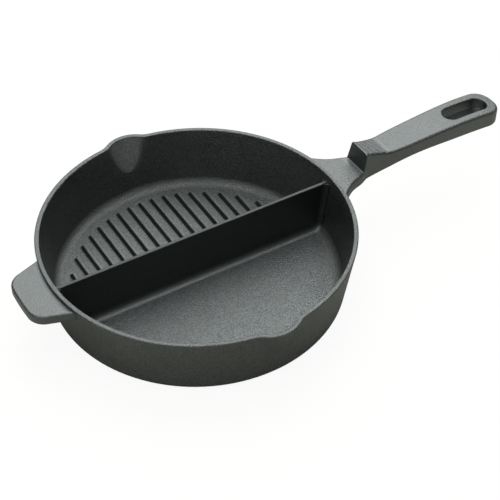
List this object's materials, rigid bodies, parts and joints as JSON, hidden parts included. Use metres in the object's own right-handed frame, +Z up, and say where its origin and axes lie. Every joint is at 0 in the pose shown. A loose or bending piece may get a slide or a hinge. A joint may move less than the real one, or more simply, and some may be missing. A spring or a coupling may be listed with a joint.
{
  "type": "divided grill pan",
  "caption": "Round cast iron pan with a dividing wall between a ribbed grill half and a plain half, two pouring spouts, a helper handle and a long handle with a hanging slot.",
  "frame": {"origin": "centre of the flat base, on its underside", "axes": "+X out along the long handle, +Y towards the ribbed half, +Z up"},
  "size_m": [0.4548, 0.2726, 0.0745],
  "materials": {
    "cast_iron": "dark seasoned iron, finely pebbled as cast, satin"
  },
  "bodies": {
    "root": {"dividing_wall": "cast_iron", "grill_rib_01": "cast_iron", "grill_rib_02": "cast_iron", "grill_rib_03": "cast_iron", "grill_rib_04": "cast_iron", "grill_rib_05": "cast_iron", "grill_rib_06": "cast_iron", "grill_rib_07": "cast_iron", "grill_rib_08": "cast_iron", "grill_rib_09": "cast_iron", "grill_rib_10": "cast_iron", "grill_rib_11": "cast_iron", "grill_rib_12": "cast_iron", "grill_rib_13": "cast_iron", "grill_rib_14": "cast_iron", "grill_rib_15": "cast_iron", "grill_rib_16": "cast_iron", "grill_rib_17": "cast_iron", "handle_grip": "cast_iron", "handle_neck": "cast_iron", "helper_handle": "cast_iron", "pan_floor": "cast_iron", "pan_wall": "cast_iron", "thumb_rest": "cast_iron"}
  },
  "joints": []
}
